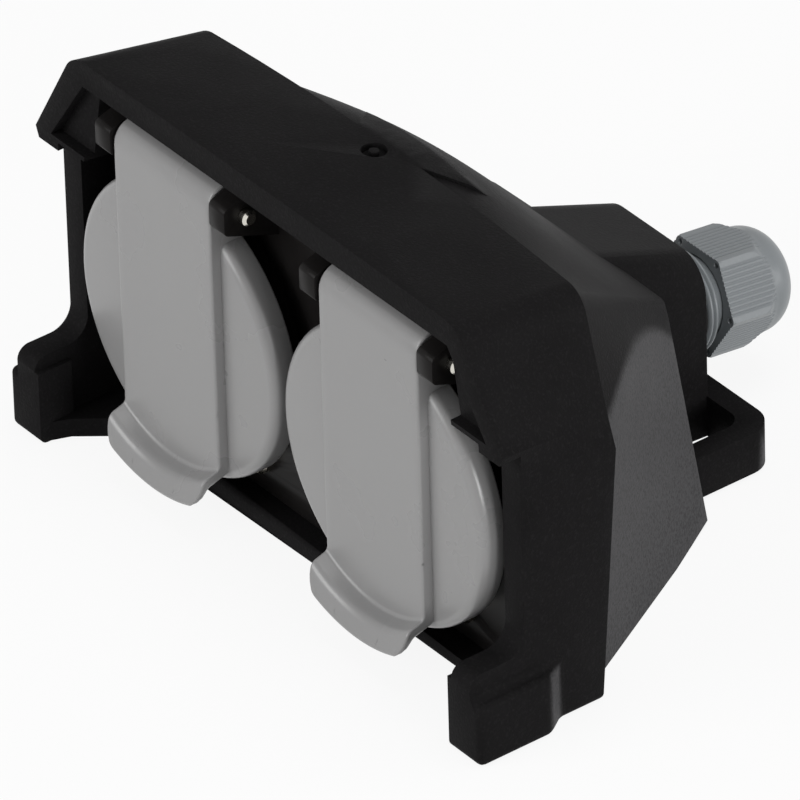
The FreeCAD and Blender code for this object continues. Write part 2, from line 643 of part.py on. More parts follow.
for x, z, side, inner, upper in screwPlaces:
    circle(insertHoles, x, z, d.screwHole)
pocket(insert, insertHoles, d.plateThick, reverse=True)
clipHalf = d.clipWidth / 2 + d.clipSlotRoom
print("insert", round(insert.Shape.Volume), insert.Shape.isValid(), len(insert.Shape.Solids))

# Gasket between the insert and the ledge
seal = newBody("insert_gasket")
sealSketch = newSketch(seal, "front", ledge)
polygon(sealSketch, plateOutline(zero))
polygon(sealSketch, plateOutline(d.seatGasketBand))
pad(seal, sealSketch, d.seatGasket)

# Fixing screws
for x, z, side, inner, upper in screwPlaces:
    name = "%s_%s_%s_screw" % ("right" if side > 0 else "left", "inner" if inner > 0 else "outer",
                               "upper" if upper > 0 else "lower")
    screw = newBody(name, x=x, y=plateFront, z=z)
    profile = newSketch(screw, "side")
    polygon(profile, [(-d.screwHeadThick, zero), (-d.screwHeadThick, d.screwHead - d.screwHeadThick / 3),
                      (-(d.screwHeadThick / 2), d.screwHead), (zero, d.screwHead), (zero, d.screwRadius),
                      (d.screwLength - d.screwTip, d.screwRadius), (d.screwLength, d.screwRadius / 3),
                      (d.screwLength, zero)])
    revolve(screw, "Revolution", profile)
    for wide, high in ((d.slotReach, d.screwSlot), (d.screwSlot, d.slotReach)):
        slot = newSketch(screw, "front", -d.screwHeadThick)
        polygon(slot, mirrored([(wide, high), (wide, -high)]))
        pocket(screw, slot, d.screwHeadThick / 2)

# Wells, lids, pins, springs, gaskets and contacts, once per socket
for name, centre in (("left", centres[1]), ("right", centres[0])):
    # the cup with its collar stands in the plate and takes the front of a plug
    cup = newBody(name + "_well_cup", x=centre, z=d.socketHeight)
    cupSketch = newSketch(cup, "side")
    collarOuter = d.wellInner + d.collarWall
    polygon(cupSketch, [(collarFront, d.wellInner), (wellFloor, d.wellInner), (wellFloor, zero), (wellBack, zero),
                        (wellBack, wellOuter), (plateFront, wellOuter), (plateFront, collarOuter),
                        (collarFront, collarOuter)])
    revolve(cup, "Revolution", cupSketch)
    rounded(cup, d.earRound / 2, lambda e: e.Curve.TypeId == "Part::GeomCircle" and near(e.CenterOfMass.y, collarFront))
    keySketch = newSketch(cup, "front", wellFloor)
    keyTip = d.wellInner - d.wellKeyDepth
    keyRoot = d.wellInner + d.wellWall / 2
    for corners in mirrorEach([(keyTip, -d.wellKeyHalf), (keyRoot, -d.wellKeyHalf), (keyRoot, d.wellKeyHalf),
                               (keyTip, d.wellKeyHalf)]):
        polygon(keySketch, corners)
    pad(cup, keySketch, d.wellDepth - d.collarProud)
    blockSide = d.plugPinPitch * half
    pinHoles = newSketch(cup, "front", wellFloor - d.overrun)
    for sign in (1, -1):
        circle(pinHoles, blockSide * sign, zero, d.plugPinHole)
    pocket(cup, pinHoles, d.wellBase + d.overrun * 2)
    clipRoom = newSketch(cup, "front", wellBack)
    for upper in (1, -1):
        low = (d.wellInner - d.clipInset - d.clipThick - d.clipSlotRoom) * upper
        high = (d.wellInner - d.clipInset + d.clipSlotRoom) * upper
        polygon(clipRoom, mirrored([(clipHalf, low), (clipHalf, high)]))
    pocket(cup, clipRoom, d.wellBase + d.overrun, reverse=True)

    lid = newBody(name + "_lid", x=centre)
    disc = newSketch(lid, "front", d.lidDepth)
    circle(disc, zero, d.socketHeight, d.lidRadius)
    pad(lid, disc, d.lidDepth)
    rounded(lid, d.lidEdge, lambda e: e.Curve.TypeId == "Part::GeomCircle" and near(e.CenterOfMass.y, zero))
    bandFoot = lidLow + d.bandFootRise
    tabLow = lidLow - d.tabDrop
    bandSketch = newSketch(lid, "side")
    polygon(bandSketch, [(-d.bandProud, hingeHeight), (-d.bandProud, bandFoot), (-d.tabFront, tabLow),
                         (-d.tabFront + d.tabThick, tabLow - d.tabThick / 2), (d.bandBack, bandFoot - d.tabThick),
                         (d.bandBack, d.socketHeight + d.neckFill), (d.lidDepth, d.socketHeight + d.neckFill),
                         (d.lidDepth, hingeHeight)])
    pad(lid, bandSketch, d.bandHalf * 2, middle=True)
    knuckle = newSketch(lid, "side")
    circle(knuckle, d.hingeDepth, hingeHeight, d.knuckleRadius)
    pad(lid, knuckle, d.bandHalf * 2, middle=True)
    tabTrim = newSketch(lid, "front", zero)
    trimHalf = d.bandHalf + d.overrun
    tabCurve = d.lidRadius + d.tabReach
    trimLow = d.socketHeight - squareRoot(tabCurve * tabCurve - trimHalf * trimHalf)
    polygon(tabTrim, [(-trimHalf, trimLow), (trimHalf, trimLow, tabCurve), (trimHalf, -d.padTop), (-trimHalf, -d.padTop)])
    pocket(lid, tabTrim, d.lidRadius, middle=True)
    hollow = newSketch(lid, "front", d.lidDepth)
    circle(hollow, zero, d.socketHeight, gasketInner - d.lidRib)
    pocket(lid, hollow, d.lidDepth - d.lidSkin, reverse=True)
    groove = newSketch(lid, "front", d.lidDepth)
    circle(groove, zero, d.socketHeight, gasketOuter)
    circle(groove, zero, d.socketHeight, gasketInner)
    pocket(lid, groove, d.lidDepth - d.gasketSeat, reverse=True)
    pinHole = newSketch(lid, "side")
    circle(pinHole, d.hingeDepth, hingeHeight, d.pinRadius + d.pinClear)
    pocket(lid, pinHole, d.outside, middle=True)
    springRoom = newSketch(lid, "side")
    circle(springRoom, d.hingeDepth, hingeHeight, d.springRoom)
    pocket(lid, springRoom, d.springHalf * 2, middle=True)
    springMouth = newSketch(lid, "side")
    mouthBack = d.hingeDepth + d.knuckleRadius * 1.5
    polygon(springMouth, [(d.hingeDepth, hingeHeight - d.springRoom), (mouthBack, hingeHeight - d.springRoom),
                          (mouthBack, hingeHeight + d.springRoom), (d.hingeDepth, hingeHeight + d.springRoom)])
    pocket(lid, springMouth, d.springHalf * 2, middle=True)
    print(name, "lid", round(lid.Shape.Volume), lid.Shape.isValid(), len(lid.Shape.Solids))

    pin = newBody(name + "_hinge_pin", x=centre)
    pinSketch = newSketch(pin, "side")
    circle(pinSketch, d.hingeDepth, hingeHeight, d.pinRadius)
    pinHalf = d.bandHalf + d.earGap + d.earWidth + d.pinProud
    pad(pin, pinSketch, pinHalf * 2, middle=True)
    bevelled(pin, d.pinEnd, lambda e: e.Curve.TypeId == "Part::GeomCircle")

    # coil round the pin, with one leg against the insert
    spring = newBody(name + "_lid_spring", x=centre, y=d.hingeDepth, z=hingeHeight)
    coilStart = d.springPitch * d.springTurns * half
    coilSketch = newSketch(spring, "front")
    circle(coilSketch, -coilStart, -d.springCoil, d.springWire)
    coil = spring.newObject("PartDesign::AdditiveHelix", "coil")
    coil.Profile = coilSketch
    coil.ReferenceAxis = (coilSketch, ["H_Axis"])
    coil.Mode = 1
    bind(coil, "Pitch", d.springPitch)
    bind(coil, "Turns", d.springTurns)
    doc.recompute()
    legSketch = newSketch(spring, "front")
    circle(legSketch, -coilStart, -d.springCoil, d.springWire)
    pad(spring, legSketch, plateFront - d.hingeDepth, reverse=True)

    gasket = newBody(name + "_lid_gasket", x=centre)
    gasketSketch = newSketch(gasket, "front", d.gasketSeat + d.gasketThick)
    circle(gasketSketch, zero, d.socketHeight, gasketOuter)
    circle(gasketSketch, zero, d.socketHeight, gasketInner)
    pad(gasket, gasketSketch, d.gasketThick)

    # block behind the well that holds the two contact sleeves
    carrier = newBody(name + "_contact_carrier", x=centre, z=d.socketHeight)
    carrierSketch = newSketch(carrier, "front", wellBack + d.towerLength)
    tower = d.sleeveOuter + d.towerWall
    polygon(carrierSketch, mirrored([(blockSide, tower), (blockSide, -tower)]))
    pad(carrier, carrierSketch, d.towerLength)
    towerSketch = newSketch(carrier, "front", wellBack + d.towerLength)
    for sign in (1, -1):
        circle(towerSketch, blockSide * sign, zero, tower)
    pad(carrier, towerSketch, d.towerLength)
    carrierHoles = newSketch(carrier, "front", wellBack)
    for sign in (1, -1):
        circle(carrierHoles, blockSide * sign, zero, d.sleeveOuter)
    pocket(carrier, carrierHoles, d.towerLength + d.overrun)
    strapRoom = newSketch(carrier, "side")
    polygon(strapRoom, [(wellBack - d.overrun, tower * 2), (wellBack + d.busThick + d.clipSlotRoom, tower * 2),
                        (wellBack + d.busThick + d.clipSlotRoom, -tower * 2), (wellBack - d.overrun, -tower * 2)])
    pocket(carrier, strapRoom, clipHalf * 2, middle=True)

    for pole, sign in (("line", 1), ("neutral", -1)):
        sleeve = newBody("%s_%s_sleeve" % (name, pole), x=centre + blockSide * sign, z=d.socketHeight, y=wellBack)
        profile = newSketch(sleeve, "side")
        polygon(profile, [(zero, d.sleeveInner), (d.sleeveLength, d.sleeveInner), (d.sleeveLength, d.sleeveOuter),
                          (zero, d.sleeveOuter)])
        revolve(sleeve, "Revolution", profile)
        slit = newSketch(sleeve, "front", zero)
        slitReach = d.sleeveOuter + d.overrun
        polygon(slit, mirrored([(slitReach, d.sleeveSlot / 2), (slitReach, -(d.sleeveSlot / 2))]))
        pocket(sleeve, slit, d.towerLength - d.overrun)

    clip = newBody(name + "_earth_clip", x=centre, z=d.socketHeight)
    clipSketch = newSketch(clip, "side")
    outer = d.wellInner - d.clipInset
    inner = outer - d.clipThick
    clipFront = wellBack - d.clipReach
    clipBack = wellBack + d.busThick
    polygon(clipSketch, [(clipFront, outer), (clipBack, outer), (clipBack, -outer), (clipFront, -outer),
                         (clipFront, -inner), (wellBack, -inner), (wellBack, inner), (clipFront, inner)])
    pad(clip, clipSketch, d.clipWidth, middle=True)

# Busbars, each with its terminal block and clamp screw
busFace = wellBack + d.towerLength
for pole, face, rise, row in (("line", busFace, d.busDrop, 1), ("neutral", busFace, d.busDrop, -1),
                              ("earth", wellBack + d.busThick, d.earthRise, 1)):
    bar = newBody(pole + "_busbar", z=d.socketHeight)
    barSketch = newSketch(bar, "front", face + d.busThick)
    low = rise * row - d.busHalf
    high = rise * row + d.busHalf
    if pole == "earth":
        reach = centres[0] + d.clipWidth / 2
        polygon(barSketch, mirrored([(reach, high), (reach, low)]))
        pad(bar, barSketch, d.busThick)
    else:
        offset = d.plugPinPitch * half * row
        first = centres[0] + offset
        second = centres[1] + offset
        polygon(barSketch, [(second - tower, low), (second - tower, high), (first + tower, high), (first + tower, low)])
        pad(bar, barSketch, d.busThick)
        tongues = newSketch(bar, "front", face + d.busThick)
        inner = low if row > 0 else high
        for x in (first, second):
            polygon(tongues, [(x - tower, inner + d.busThick * row), (x + tower, inner + d.busThick * row),
                              (x + tower, -tower * row), (x - tower, -tower * row)])
        pad(bar, tongues, d.busThick)
        sleeveHoles = newSketch(bar, "front", face)
        for x in (first, second):
            circle(sleeveHoles, x, zero, d.sleeveOuter)
        pocket(bar, sleeveHoles, d.busThick + d.overrun)

    blockFace = face + d.busThick
    blockHeight = d.socketHeight + rise * row
    block = newBody(pole + "_terminal", y=blockFace, z=blockHeight)
    blockSketch = newSketch(block, "front", d.blockDepth)
    polygon(blockSketch, mirrored([(d.blockHalf, d.blockHalf), (d.blockHalf, -d.blockHalf)]))
    pad(block, blockSketch, d.blockDepth)
    wireHole = newSketch(block, "front", zero)
    circle(wireHole, zero, zero, d.wireRadius)
    pocket(block, wireHole, d.blockDepth + d.overrun)
    clampHole = newSketch(block, "floor", zero)
    circle(clampHole, zero, d.blockDepth / 2, d.clampRadius)
    pocket(block, clampHole, d.blockHalf + d.overrun, reverse=row > 0)

    clamp = newBody(pole + "_terminal_screw", y=blockFace, z=blockHeight)
    clampSketch = newSketch(clamp, "floor", d.wireRadius * row)
    circle(clampSketch, zero, d.blockDepth / 2, d.clampRadius)
    pad(clamp, clampSketch, d.blockHalf - d.wireRadius + d.clampProud, reverse=row < 0)
print("pieces", len(pieces))

# Cable gland on its own tilted axis


def glandBody(name):
    return newBody(name, y=seatDepth, z=seatHeight, tilt=d.glandTilt)


washer = glandBody("gland_washer")
washerSketch = newSketch(washer, "side")
polygon(washerSketch, [(zero, d.threadRadius + d.threadClear), (d.washerThick, d.threadRadius + d.threadClear),
                       (d.washerThick, d.ringRadius), (zero, d.ringRadius)])
revolve(washer, "Revolution", washerSketch)

flangeStart = d.washerThick
flangeEnd = flangeStart + d.grooveThick + d.ringThick
glandCore = glandBody("gland_body")
coreSketch = newSketch(glandCore, "side")
polygon(coreSketch, [(-d.threadLength, d.bodyBore), (flangeEnd + d.stubLength, d.bodyBore),
                     (flangeEnd + d.stubLength, d.stubRadius), (flangeEnd, d.stubRadius), (flangeEnd, d.ringRadius),
                     (flangeStart + d.grooveThick, d.ringRadius),
                     (flangeStart + d.grooveThick, d.ringRadius - d.grooveDepth),
                     (flangeStart, d.ringRadius - d.grooveDepth), (flangeStart, d.threadRadius), (-d.threadLength, d.threadRadius)])
revolve(glandCore, "Revolution", coreSketch)

nutStart = flangeEnd + d.nutGap
nutEnd = nutStart + d.nutLength
nutCorner = d.nutFlat * hexRatio
nut = glandBody("dome_nut")
nutSketch = newSketch(nut, "side")
polygon(nutSketch, [(nutStart, zero), (nutStart, nutCorner - d.nutCornerCut), (nutStart + d.nutCornerCut, nutCorner),
                    (nutStart + d.nutHex, nutCorner), (nutStart + d.nutBlend, d.nutFlat), (nutEnd, d.nutFlat),
                    (nutEnd, zero)])
revolve(nut, "Revolution", nutSketch)
rounded(nut, d.nutRound, lambda e: e.Curve.TypeId == "Part::GeomCircle" and near(e.CenterOfMass.y, nutEnd))
flats = newSketch(nut, "front", nutStart)
polygon(flats, [(nutCorner, zero), (nutCorner / 2, d.nutFlat), (-(nutCorner / 2), d.nutFlat), (-nutCorner, zero),
                (-(nutCorner / 2), -d.nutFlat), (nutCorner / 2, -d.nutFlat)])
circle(flats, zero, zero, nutCorner * 2)
pocket(nut, flats, d.nutBlend + d.overrun)
nutHole = newSketch(nut, "front", nutStart)
circle(nutHole, zero, zero, d.nutBore)
pocket(nut, nutHole, d.nutInside)
nutCone = newSketch(nut, "side")
polygon(nutCone, [(nutStart + d.nutInside, zero), (nutStart + d.nutInside, d.nutBore),
                  (nutEnd - d.nutMouthDepth, d.nutMouth), (nutEnd + d.overrun, d.nutMouth),
                  (nutEnd + d.overrun, zero)])
revolve(nut, "Groove", nutCone)

claw = glandBody("claw_ring")
clawSketch = newSketch(claw, "side")
clawFront = flangeEnd + d.stubLength
clawBack = clawFront + d.clawLength
polygon(clawSketch, [(clawFront, d.bodyBore), (clawBack, d.bodyBore - d.clawPinch),
                     (clawBack, d.bodyBore - d.clawPinch + d.clawThin), (clawFront + d.clawBevel, d.clawOuter),
                     (clawFront, d.clawOuter)])
revolve(claw, "Revolution", clawSketch)
clawSlot = newSketch(claw, "front", clawFront + d.clawBevel)
polygon(clawSlot, [(d.bodyBore / 2, -(d.clawSlotWidth / 2)), (d.clawOuter + d.overrun, -(d.clawSlotWidth / 2)),
                   (d.clawOuter + d.overrun, d.clawSlotWidth / 2), (d.bodyBore / 2, d.clawSlotWidth / 2)])
slotCut = pocket(claw, clawSlot, d.clawLength)
slots = claw.newObject("PartDesign::PolarPattern", "slots")
slots.Originals = [slotCut]
slots.Axis = (clawSlot, ["N_Axis"])
slots.Angle = 360
bind(slots, "Occurrences", d.clawSlots)
claw.Tip = slots
doc.recompute()

sealRing = glandBody("cable_seal")
sealStart = flangeEnd - d.sealInset
sealInner = d.bodyBore - d.sealWall
sealRingSketch = newSketch(sealRing, "side")
polygon(sealRingSketch, [(sealStart, sealInner), (clawFront, sealInner), (clawFront, d.bodyBore),
                         (sealStart, d.bodyBore)])
revolve(sealRing, "Revolution", sealRingSketch)

doc.recompute()
for item in doc.Objects:
    if "Invalid" in item.State or "Error" in item.State:
        raise RuntimeError("%s in %s" % (item.State, item.Name))
os.makedirs("parts", exist_ok=True)
box = FreeCAD.BoundBox()
for piece in pieces:
    shape = piece.Shape
    if shape.isNull() or not shape.isValid() or not shape.Solids:
        raise RuntimeError("%s has no sound shape" % piece.Label)
    if len(shape.Solids) != 1:
        print("several solids in", piece.Label, len(shape.Solids))
    box.add(shape.BoundBox)
    shape.exportStep("parts/%s.step" % piece.Label)
print("pieces", len(pieces), "box", [round(v, 2) for v in (box.XMin, box.XMax, box.YMin, box.YMax, box.ZMin, box.ZMax)])
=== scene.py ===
import json
import math
import bmesh
import bpy
import numpy as np
from mathutils import Matrix, Vector


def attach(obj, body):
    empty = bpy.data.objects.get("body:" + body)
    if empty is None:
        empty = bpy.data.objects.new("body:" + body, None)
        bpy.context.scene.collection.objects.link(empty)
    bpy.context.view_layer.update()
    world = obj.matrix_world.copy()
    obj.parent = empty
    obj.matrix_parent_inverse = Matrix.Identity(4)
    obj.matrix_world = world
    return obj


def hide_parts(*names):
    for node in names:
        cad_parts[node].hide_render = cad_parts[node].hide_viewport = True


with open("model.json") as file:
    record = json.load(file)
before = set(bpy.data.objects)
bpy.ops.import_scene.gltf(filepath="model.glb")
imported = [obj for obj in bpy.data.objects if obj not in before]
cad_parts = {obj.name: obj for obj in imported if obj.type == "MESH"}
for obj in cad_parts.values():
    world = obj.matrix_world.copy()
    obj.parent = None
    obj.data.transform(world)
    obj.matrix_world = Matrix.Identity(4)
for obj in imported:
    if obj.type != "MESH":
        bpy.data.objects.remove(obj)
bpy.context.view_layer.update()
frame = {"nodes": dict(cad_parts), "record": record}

# Two-way rubber trailing socket, dressed over its solids. Metres, in the part's own frame.
# Pieces are worked out in the drawing's millimetres: across, back from the lids, up from the floor.
originDepth = 48.4
nodes = frame["nodes"]
print("solids loaded:", len(nodes))


# Drawing millimetres to metres in the part's frame.
def toFrame(across, back, up):
    across, back, up = np.broadcast_arrays(across, back, up)
    return np.stack([across, back - originDepth, up], -1) * 0.001


# A material with one Principled shader, its constants set on the sockets.
def newMaterial(name, look):
    material = bpy.data.materials.new(name)
    material.use_nodes = True
    shader = material.node_tree.nodes["Principled BSDF"]
    shader.inputs["Base Color"].default_value = (*look["base"], 1)
    shader.inputs["Roughness"].default_value = look["roughness"]
    shader.inputs["Metallic"].default_value = look.get("metallic", 0.0)
    shader.inputs["Specular IOR Level"].default_value = look.get("specular", 0.5)
    return material, shader


# A node with its properties and plain socket values.
def addNode(tree, kind, **settings):
    node = tree.nodes.new(kind)
    for key, value in settings.items():
        if key in node.inputs:
            node.inputs[key].default_value = value
        else:
            setattr(node, key, value)
    return node


# A maths node whose inputs are sockets or numbers.
def addMath(tree, operation, *inputs):
    node = tree.nodes.new("ShaderNodeMath")
    node.operation = operation
    for slot, value in enumerate(inputs):
        if isinstance(value, (int, float)):
            node.inputs[slot].default_value = value
        else:
            tree.links.new(value, node.inputs[slot])
    return node.outputs[0]


# An empty node group with float or colour sockets.
def newGroup(name, ins, outs):
    tree = bpy.data.node_groups.new(name, "ShaderNodeTree")
    kinds = {"f": "NodeSocketFloat", "c": "NodeSocketColor"}
    for label, kind, value in ins:
        socket = tree.interface.new_socket(label, in_out="INPUT", socket_type=kinds[kind])
        socket.default_value = value
    for label, kind in outs:
        tree.interface.new_socket(label, in_out="OUTPUT", socket_type=kinds[kind])
    return tree, tree.nodes.new("NodeGroupInput"), tree.nodes.new("NodeGroupOutput")


# Noise over object coordinates at a scale that is a number or a socket.
def addNoise(tree, place, scale, detail, roughness):
    noise = addNode(tree, "ShaderNodeTexNoise", Detail=detail, Roughness=roughness)
    tree.links.new(place, noise.inputs["Vector"])
    if isinstance(scale, (int, float)):
        noise.inputs["Scale"].default_value = scale
    else:
        tree.links.new(scale, noise.inputs["Scale"])
    return noise.outputs["Fac"]


# A value between two limits, which may fall, as a share from 0 to 1.
def addRamp(tree, value, limits, **settings):
    ramp = addNode(tree, "ShaderNodeMapRange", **settings)
    ramp.inputs["From Min"].default_value, ramp.inputs["From Max"].default_value = limits
    tree.links.new(value, ramp.inputs["Value"])
    return ramp.outputs[0]


# A share of a fixed colour mixed into the colour from a socket.
def addMix(tree, share, under, over):
    mix = addNode(tree, "ShaderNodeMix", data_type="RGBA")
    colours = [socket for socket in mix.inputs if socket.type == "RGBA"]
    colours[1].default_value = (*over, 1)
    tree.links.new(share, mix.inputs[0])
    tree.links.new(under, colours[0])
    return [socket for socket in mix.outputs if socket.type == "RGBA"][0]


# Moulded grain, all finishes: detail and roughness of the pits and clouds, pit heights that show as specks
grainShape = {"pits": (3.0, 0.6), "clouds": (4.0, 0.55), "speckLimits": (0.52, 0.74)}


# Fine pits for the height, slow clouds for tone and gloss, pale specks where the pits stand highest.
# tone = 1 + spread * (cloud - 1/2) + specks * ramp(pits), roughness = level + gloss * (cloud - 1/2)
def buildGrainGroup(shape):
    ins = [("Fine", "f", 1800.0), ("Cloud", "f", 60.0), ("Base", "c", (0.5, 0.5, 0.5, 1)),
           ("Tone", "f", 0.15), ("Specks", "f", 0.0), ("Roughness", "f", 0.5), ("Gloss Spread", "f", 0.08)]
    outs = [("Color", "c"), ("Roughness", "f"), ("Height", "f")]
    tree, entry, leave = newGroup("mouldedGrain", ins, outs)
    place = addNode(tree, "ShaderNodeTexCoord").outputs["Object"]
    fine = addNoise(tree, place, entry.outputs["Fine"], *shape["pits"])
    cloud = addNoise(tree, place, entry.outputs["Cloud"], *shape["clouds"])
    centred = addMath(tree, "SUBTRACT", cloud, 0.5)
    specks = addRamp(tree, fine, shape["speckLimits"])
    tone = addMath(tree, "MULTIPLY_ADD", centred, entry.outputs["Tone"], 1.0)
    tone = addMath(tree, "MULTIPLY_ADD", specks, entry.outputs["Specks"], tone)
    shade = addNode(tree, "ShaderNodeVectorMath", operation="SCALE")
    tree.links.new(entry.outputs["Base"], shade.inputs[0])
    tree.links.new(tone, shade.inputs["Scale"])
    gloss = addMath(tree, "MULTIPLY_ADD", centred, entry.outputs["Gloss Spread"], entry.outputs["Roughness"])
    tree.links.new(shade.outputs[0], leave.inputs["Color"])
    tree.links.new(gloss, leave.inputs["Roughness"])
    tree.links.new(fine, leave.inputs["Height"])
    return tree


# Handling marks: how streaks are drawn out and turned, detail and roughness of each noise, limits that show
scuffShape = {"stretch": (260.0, 2600.0, 700.0), "turn": (0.4, 0.7, 0.5), "streaks": (2.0, 0.5),
              "patches": (3.0, 0.6), "streakLimits": (0.64, 0.74), "patchLimits": (0.5, 0.68), "dulling": 0.25}


# Thin streaks of stretched noise, shown in patches. Marks = ramp(streaks) * ramp(patches)
def buildScuffGroup(shape):
    tree, entry, leave = newGroup("handlingMarks", [("Patches", "f", 40.0)], [("Marks", "f")])
    place = addNode(tree, "ShaderNodeTexCoord").outputs["Object"]
    stretch = addNode(tree, "ShaderNodeMapping", Scale=shape["stretch"], Rotation=shape["turn"])
    tree.links.new(place, stretch.inputs["Vector"])
    streaks = addNoise(tree, stretch.outputs[0], 1.0, *shape["streaks"])
    patches = addNoise(tree, place, entry.outputs["Patches"], *shape["patches"])
    marks = addMath(tree, "MULTIPLY", addRamp(tree, streaks, shape["streakLimits"]),
                    addRamp(tree, patches, shape["patchLimits"]))
    tree.links.new(marks, leave.inputs["Marks"])
    return tree


# Painted sheen on the rear flanks: limits of the normal's back and side parts, of the height over the crease, and
# the crease's curve
paintedSheenShape = {"backLimits": (0.2, 0.55), "sideLimits": (0.35, 0.7), "heightLimits": (0.0505, 0.0479),
              "creaseBack": 0.011, "creaseBend": 22.0, "level": 0.9}


# A painted sheen: paler grey painted on the rubber's slanting rear flanks, below a curved crease, standing in for
# light that grazes them, broken up by the grain.
# height = up + bend * (back + creaseBack)^2
# Painted sheen = ramp(normal back) * ramp(normal sideways) * ramp(height, falling) * (level + grit * (grain - 1/2))
def buildPaintedSheenGroup(shape):
    tree, entry, leave = newGroup("paintedFlankSheen", [("Grain", "f", 0.5), ("Grit", "f", 1.8)], [("Painted Sheen", "f")])
    around = addNode(tree, "ShaderNodeTexCoord")
    normal = addNode(tree, "ShaderNodeSeparateXYZ")
    place = addNode(tree, "ShaderNodeSeparateXYZ")
    tree.links.new(around.outputs["Normal"], normal.inputs[0])
    tree.links.new(around.outputs["Object"], place.inputs[0])
    back = addMath(tree, "ADD", place.outputs["Y"], shape["creaseBack"])
    squared = addMath(tree, "MULTIPLY", back, back)
    height = addMath(tree, "MULTIPLY_ADD", squared, shape["creaseBend"], place.outputs["Z"])
    sideways = addMath(tree, "ABSOLUTE", normal.outputs["X"])
    centred = addMath(tree, "SUBTRACT", entry.outputs["Grain"], 0.5)
    paintedSheen = addMath(tree, "MULTIPLY_ADD", centred, entry.outputs["Grit"], shape["level"])
    for value, key in ((normal.outputs["Y"], "backLimits"), (sideways, "sideLimits"), (height, "heightLimits")):
        mask = addRamp(tree, value, shape[key], interpolation_type="SMOOTHSTEP")
        paintedSheen = addMath(tree, "MULTIPLY", paintedSheen, mask)
    tree.links.new(addMath(tree, "MINIMUM", paintedSheen, 1.0), leave.inputs["Painted Sheen"])
    return tree


grainGroup = buildGrainGroup(grainShape)
scuffGroup = buildScuffGroup(scuffShape)
paintedSheenGroup = buildPaintedSheenGroup(paintedSheenShape)


# A moulded or drawn surface: grain drives tone, gloss and a fine bump, handling marks lighten and dull it, and
# where the look gives one, a painted sheen lightens the rear flanks in place of grazing light.
def mouldedFinish(name, look):
    material, shader = newMaterial(name, look)
    tree = material.node_tree
    grain = addNode(tree, "ShaderNodeGroup", node_tree=grainGroup)
    for socket, key in (("Fine", "fine"), ("Cloud", "cloud"), ("Tone", "tone"), ("Specks", "specks"),
                        ("Roughness", "roughness"), ("Gloss Spread", "spread")):
        grain.inputs[socket].default_value = look[key]
    grain.inputs["Base"].default_value = (*look["base"], 1)
    scuffs = addNode(tree, "ShaderNodeGroup", node_tree=scuffGroup)
    scuffs.inputs["Patches"].default_value = look["patches"]
    share = addMath(tree, "MULTIPLY", scuffs.outputs["Marks"], look["wear"])
    shade = grain.outputs["Color"]
    # Painted sheen: a paler grey mixed into the colour on flanks that face back and sideways, standing in for
    # grazing light
    if "paintedSheen" in look:
        paintedSheen = addNode(tree, "ShaderNodeGroup", node_tree=paintedSheenGroup)
        tree.links.new(grain.outputs["Height"], paintedSheen.inputs["Grain"])
        shade = addMix(tree, paintedSheen.outputs["Painted Sheen"], shade, look["paintedSheen"])
    tree.links.new(addMix(tree, share, shade, look["worn"]), shader.inputs["Base Color"])
    dulled = addMath(tree, "MULTIPLY_ADD", share, scuffShape["dulling"], grain.outputs["Roughness"])
    tree.links.new(dulled, shader.inputs["Roughness"])
    bump = addNode(tree, "ShaderNodeBump", Strength=look["bump"], Distance=look["depth"])
    tree.links.new(grain.outputs["Height"], bump.inputs["Height"])
    tree.links.new(bump.outputs["Normal"], shader.inputs["Normal"])
    return material
